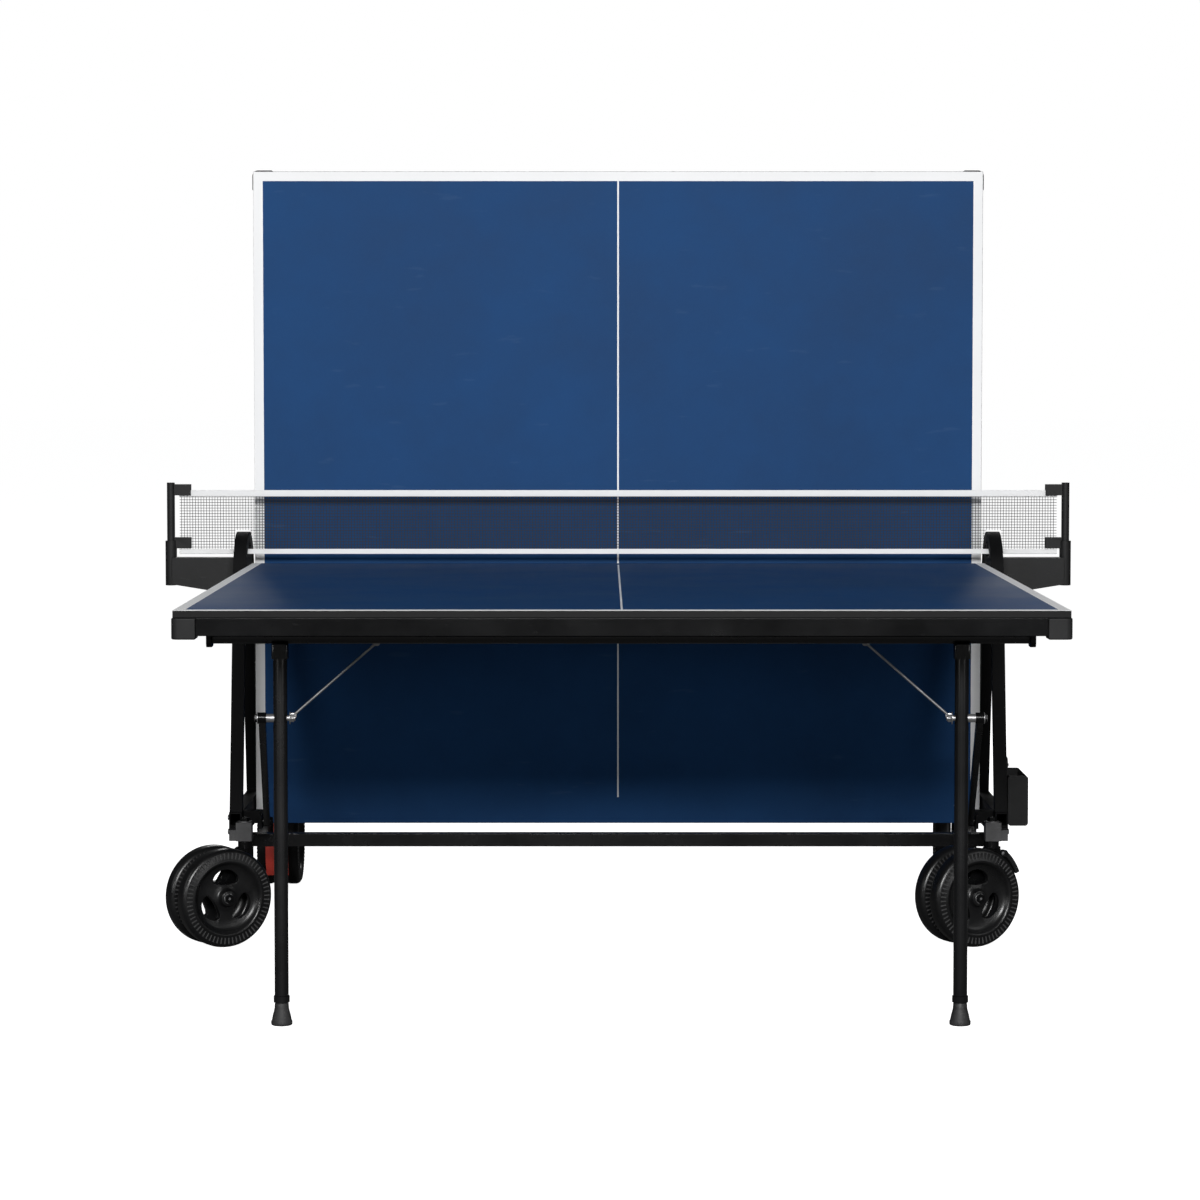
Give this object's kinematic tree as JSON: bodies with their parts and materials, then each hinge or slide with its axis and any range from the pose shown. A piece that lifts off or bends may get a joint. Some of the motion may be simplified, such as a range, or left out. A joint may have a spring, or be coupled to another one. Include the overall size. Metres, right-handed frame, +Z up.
{
  "type": "ping pong table",
  "caption": "Folding ping pong table on a wheeled carriage, with halves that fold upright, leg frames, links, swivel casters with brakes, and a stretched net.",
  "frame": {"origin": "on the floor, under the middle of the whole table", "axes": "+Z up, X along the net, the half set up for play towards -Y, the folded half towards +Y"},
  "size_m": [1.886, 2.0687, 1.579],
  "materials": {
    "surface": "satin painted blue board with pale grey lines",
    "frame": "satin black powder coat on steel tube",
    "black": "glossy black powder coat",
    "moulded": "moulded dark grey plastic",
    "plated": "zinc plated steel",
    "wheel": "dark grey wheel with a ribbed rim",
    "net": "woven mesh with pale tapes along its edges",
    "red": "red moulded pedal"
  },
  "bodies": {
    "carriage": {"arch_left": "frame", "arch_right": "frame", "net_arm_left": "moulded", "net_arm_right": "moulded", "net_post_left": "moulded", "net_post_right": "moulded", "crossbeam": "black", "net": "net", "ball_holder": "black"},
    "near_half": {"near_top": "surface", "near_end_rail": "frame", "near_net_rail": "frame", "near_side_rail_left": "frame", "near_side_rail_right": "frame", "near_corner_cap_left": "moulded", "near_corner_cap_right": "moulded"},
    "near_arms": {"near_swing_arm_left": "black", "near_swing_arm_right": "black"},
    "near_leg_frame": {"near_leg_crossbar": "black", "near_leg_left": "black", "near_leg_right": "black"},
    "near_links": {"near_link_left": "black", "near_link_right": "black"},
    "near_outriggers": {"near_outrigger_left": "plated", "near_outrigger_right": "plated"},
    "near_foot_left": {"near_foot_left": "black"},
    "near_caster_left": {"near_caster_left_fork": "plated"},
    "near_caster_left_wheel_a": {"near_caster_left_wheel_a": "wheel"},
    "near_caster_left_wheel_b": {"near_caster_left_wheel_b": "wheel"},
    "near_foot_right": {"near_foot_right": "black"},
    "near_caster_right": {"near_caster_right_fork": "plated"},
    "near_caster_right_wheel_a": {"near_caster_right_wheel_a": "wheel"},
    "near_caster_right_wheel_b": {"near_caster_right_wheel_b": "wheel"},
    "near_caster_right_brake_pedal": {"near_caster_right_brake_pedal": "black"},
    "far_half": {"far_top": "surface", "far_end_rail": "frame", "far_net_rail": "frame", "far_side_rail_left": "frame", "far_side_rail_right": "frame", "far_corner_cap_left": "moulded", "far_corner_cap_right": "moulded"},
    "far_arms": {"far_swing_arm_left": "black", "far_swing_arm_right": "black"},
    "far_leg_frame": {"far_leg_crossbar": "black", "far_leg_left": "black", "far_leg_right": "black"},
    "far_links": {"far_link_left": "black", "far_link_right": "black"},
    "far_outriggers": {"far_outrigger_left": "plated", "far_outrigger_right": "plated"},
    "far_foot_left": {"far_foot_left": "black"},
    "far_caster_left": {"far_caster_left_fork": "plated"},
    "far_caster_left_wheel_a": {"far_caster_left_wheel_a": "wheel"},
    "far_caster_left_wheel_b": {"far_caster_left_wheel_b": "wheel"},
    "far_caster_left_brake_pedal": {"far_caster_left_brake_pedal": "red"},
    "far_foot_right": {"far_foot_right": "black"},
    "far_caster_right": {"far_caster_right_fork": "plated"},
    "far_caster_right_wheel_a": {"far_caster_right_wheel_a": "wheel"},
    "far_caster_right_wheel_b": {"far_caster_right_wheel_b": "wheel"}
  },
  "joints": [
    {"name": "near_fold", "type": "hinge", "parent": "carriage", "child": "near_arms", "pos_m": [0, 0.26739, 0.71101], "axis": [1, 0, 0], "range_deg": [0, 90]},
    {"name": "near_top_turn", "type": "hinge", "parent": "near_arms", "child": "near_half", "pos_m": [0, 0.05039, 0.73], "axis": [1, 0, 0], "range_deg": [-180, 0]},
    {"name": "near_leg_fold", "type": "hinge", "parent": "near_half", "child": "near_leg_frame", "pos_m": [0, -0.76259, 0.694], "axis": [1, 0, 0], "range_deg": [0, 90]},
    {"name": "near_link_turn", "type": "hinge", "parent": "carriage", "child": "near_links", "pos_m": [0, 0.10559, 0.25], "axis": [-1, 0, 0], "range_deg": [0, 77.73]},
    {"name": "near_outrigger_slide", "type": "slide", "parent": "carriage", "child": "near_outriggers", "axis": [0, -1, 0], "range_m": [0, 0.3222]},
    {"name": "near_foot_left_screw", "type": "slide", "parent": "near_leg_frame", "child": "near_foot_left", "axis": [0, 0, -1], "range_m": [0, 0.015]},
    {"name": "near_caster_left_swivel", "type": "hinge", "parent": "near_outriggers", "child": "near_caster_left", "pos_m": [-0.7591, 0.12711, 0.2], "axis": [0, 0, 1], "continuous": true},
    {"name": "near_caster_left_wheel_a_spin", "type": "hinge", "parent": "near_caster_left", "child": "near_caster_left_wheel_a", "pos_m": [-0.82509, 0.11948, 0.1], "axis": [0.5299, -0.848, 0], "continuous": true},
    {"name": "near_caster_left_wheel_b_spin", "type": "hinge", "parent": "near_caster_left", "child": "near_caster_left_wheel_b", "pos_m": [-0.79488, 0.07114, 0.1], "axis": [0.5299, -0.848, 0], "continuous": true},
    {"name": "near_foot_right_screw", "type": "slide", "parent": "near_leg_frame", "child": "near_foot_right", "axis": [0, 0, -1], "range_m": [0, 0.015]},
    {"name": "near_caster_right_swivel", "type": "hinge", "parent": "near_outriggers", "child": "near_caster_right", "pos_m": [0.7591, 0.12711, 0.2], "axis": [0, 0, 1], "continuous": true},
    {"name": "near_caster_right_wheel_a_spin", "type": "hinge", "parent": "near_caster_right", "child": "near_caster_right_wheel_a", "pos_m": [0.6927, 0.12526, 0.1], "axis": [0.454, -0.891, 0], "continuous": true},
    {"name": "near_caster_right_wheel_b_spin", "type": "hinge", "parent": "near_caster_right", "child": "near_caster_right_wheel_b", "pos_m": [0.71858, 0.07447, 0.1], "axis": [0.454, -0.891, 0], "continuous": true},
    {"name": "near_caster_right_brake_press", "type": "hinge", "parent": "near_caster_right", "child": "near_caster_right_brake_pedal", "pos_m": [0.7787, 0.13709, 0.181], "axis": [-0.454, 0.891, 0], "range_deg": [0, 8]},
    {"name": "far_fold", "type": "hinge", "parent": "carriage", "child": "far_arms", "pos_m": [0, 0.40942, 0.71101], "axis": [1, 0, 0], "range_deg": [0, 90]},
    {"name": "far_top_turn", "type": "hinge", "parent": "far_arms", "child": "far_half", "pos_m": [0, 0.42841, 0.49401], "axis": [1, 0, 0], "range_deg": [-180, 0]},
    {"name": "far_leg_fold", "type": "hinge", "parent": "far_half", "child": "far_leg_frame", "pos_m": [0, 0.46441, 1.307], "axis": [1, 0, 0], "range_deg": [0, 90]},
    {"name": "far_link_turn", "type": "hinge", "parent": "carriage", "child": "far_links", "pos_m": [0, 0.57122, 0.25], "axis": [-1, 0, 0], "range_deg": [0, 77.73]},
    {"name": "far_outrigger_slide", "type": "slide", "parent": "carriage", "child": "far_outriggers", "axis": [0, -1, 0], "range_m": [0, 0.3222]},
    {"name": "far_foot_left_screw", "type": "slide", "parent": "far_leg_frame", "child": "far_foot_left", "axis": [0, 0, -1], "range_m": [0, 0.015]},
    {"name": "far_caster_left_swivel", "type": "hinge", "parent": "far_outriggers", "child": "far_caster_left", "pos_m": [-0.7591, 0.87171, 0.2], "axis": [0, 0, 1], "continuous": true},
    {"name": "far_caster_left_wheel_a_spin", "type": "hinge", "parent": "far_caster_left", "child": "far_caster_left_wheel_a", "pos_m": [-0.7306, 0.93171, 0.1], "axis": [-1, 0, 0], "continuous": true},
    {"name": "far_caster_left_wheel_b_spin", "type": "hinge", "parent": "far_caster_left", "child": "far_caster_left_wheel_b", "pos_m": [-0.7876, 0.93171, 0.1], "axis": [-1, 0, 0], "continuous": true},
    {"name": "far_caster_left_brake_press", "type": "hinge", "parent": "far_caster_left", "child": "far_caster_left_brake_pedal", "pos_m": [-0.7591, 0.84971, 0.181], "axis": [-1, 0, 0], "range_deg": [0, 12]},
    {"name": "far_foot_right_screw", "type": "slide", "parent": "far_leg_frame", "child": "far_foot_right", "axis": [0, 0, -1], "range_m": [0, 0.015]},
    {"name": "far_caster_right_swivel", "type": "hinge", "parent": "far_outriggers", "child": "far_caster_right", "pos_m": [0.7591, 0.87171, 0.2], "axis": [0, 0, 1], "continuous": true},
    {"name": "far_caster_right_wheel_a_spin", "type": "hinge", "parent": "far_caster_right", "child": "far_caster_right_wheel_a", "pos_m": [0.79172, 0.92957, 0.1], "axis": [-0.9976, 0.0698, 0], "continuous": true},
    {"name": "far_caster_right_wheel_b_spin", "type": "hinge", "parent": "far_caster_right", "child": "far_caster_right_wheel_b", "pos_m": [0.73486, 0.93355, 0.1], "axis": [-0.9976, 0.0698, 0], "continuous": true}
  ],
  "couplings": [
    {"joint": "near_top_turn", "follows": "near_fold", "ratio": -2},
    {"joint": "near_leg_fold", "follows": "near_fold", "ratio": 1},
    {"joint": "near_link_turn", "follows": "near_fold", "ratio": 0.86307},
    {"joint": "near_outrigger_slide", "follows": "near_fold", "m_per_rad": 0.20499},
    {"joint": "far_top_turn", "follows": "far_fold", "ratio": -2},
    {"joint": "far_leg_fold", "follows": "far_fold", "ratio": 1},
    {"joint": "far_link_turn", "follows": "far_fold", "ratio": 0.86307},
    {"joint": "far_outrigger_slide", "follows": "far_fold", "m_per_rad": 0.20499}
  ]
}
